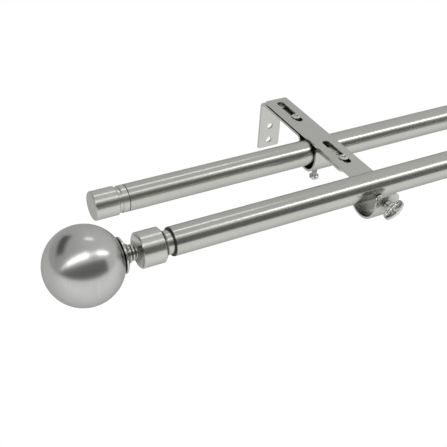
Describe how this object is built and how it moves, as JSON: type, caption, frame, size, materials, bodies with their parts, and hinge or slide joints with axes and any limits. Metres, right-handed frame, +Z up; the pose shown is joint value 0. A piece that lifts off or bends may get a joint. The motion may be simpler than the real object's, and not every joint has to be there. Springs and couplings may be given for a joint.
{
  "type": "double curtain pole",
  "caption": "Two round metal curtain poles, one behind the other, on folded strip wall brackets with slotted sliding arms; the front pole ends in ball finials and the back pole in turned caps.",
  "frame": {"origin": "middle of the left bracket's two wall holes, on the face that touches the wall", "axes": "+X along the poles from the left bracket to the right one, +Y into the wall, +Z up"},
  "size_m": [0.8637, 0.1654, 0.0682],
  "materials": {
    "strip_nickel": "satin nickel plate on folded strip",
    "turned_nickel": "satin nickel plate, brushed round the axis",
    "screw_nickel": "bright nickel plate",
    "tube_nickel": "satin nickel plate, brushed round the tube",
    "black_plastic": "moulded, matt"
  },
  "bodies": {
    "wall_side": {"left_wall_bracket": "strip_nickel", "left_rear_arm_screw": "screw_nickel", "left_front_arm_screw": "screw_nickel", "left_set_screw": "screw_nickel", "left_end_cap": "turned_nickel", "left_cap_liner": "black_plastic", "right_wall_bracket": "strip_nickel", "right_rear_arm_screw": "screw_nickel", "right_front_arm_screw": "screw_nickel", "right_set_screw": "screw_nickel", "right_end_cap": "turned_nickel", "right_cap_liner": "black_plastic", "back_pole": "tube_nickel"},
    "front_side": {"left_extension_arm": "strip_nickel", "left_finial_ball": "turned_nickel", "left_finial_saucer": "turned_nickel", "left_finial_neck": "turned_nickel", "left_finial_stud": "screw_nickel", "left_finial_collar": "turned_nickel", "left_pole_liner": "black_plastic", "right_extension_arm": "strip_nickel", "right_finial_ball": "turned_nickel", "right_finial_saucer": "turned_nickel", "right_finial_neck": "turned_nickel", "right_finial_stud": "screw_nickel", "right_finial_collar": "turned_nickel", "right_pole_liner": "black_plastic", "front_pole": "tube_nickel"},
    "left_thumb": {"left_thumb_screw": "screw_nickel"},
    "right_thumb": {"right_thumb_screw": "screw_nickel"}
  },
  "joints": [
    {"name": "projection_slide", "type": "slide", "parent": "wall_side", "child": "front_side", "axis": [0, -1, 0], "range_m": [-0.005, 0.023]},
    {"name": "left_thumb_turn", "type": "hinge", "parent": "front_side", "child": "left_thumb", "pos_m": [0, -0.15, 0.0264], "axis": [0, -1, 0], "range_deg": [0, 360]},
    {"name": "right_thumb_turn", "type": "hinge", "parent": "front_side", "child": "right_thumb", "pos_m": [0.394, -0.15, 0.0264], "axis": [0, -1, 0], "range_deg": [0, 360]}
  ]
}
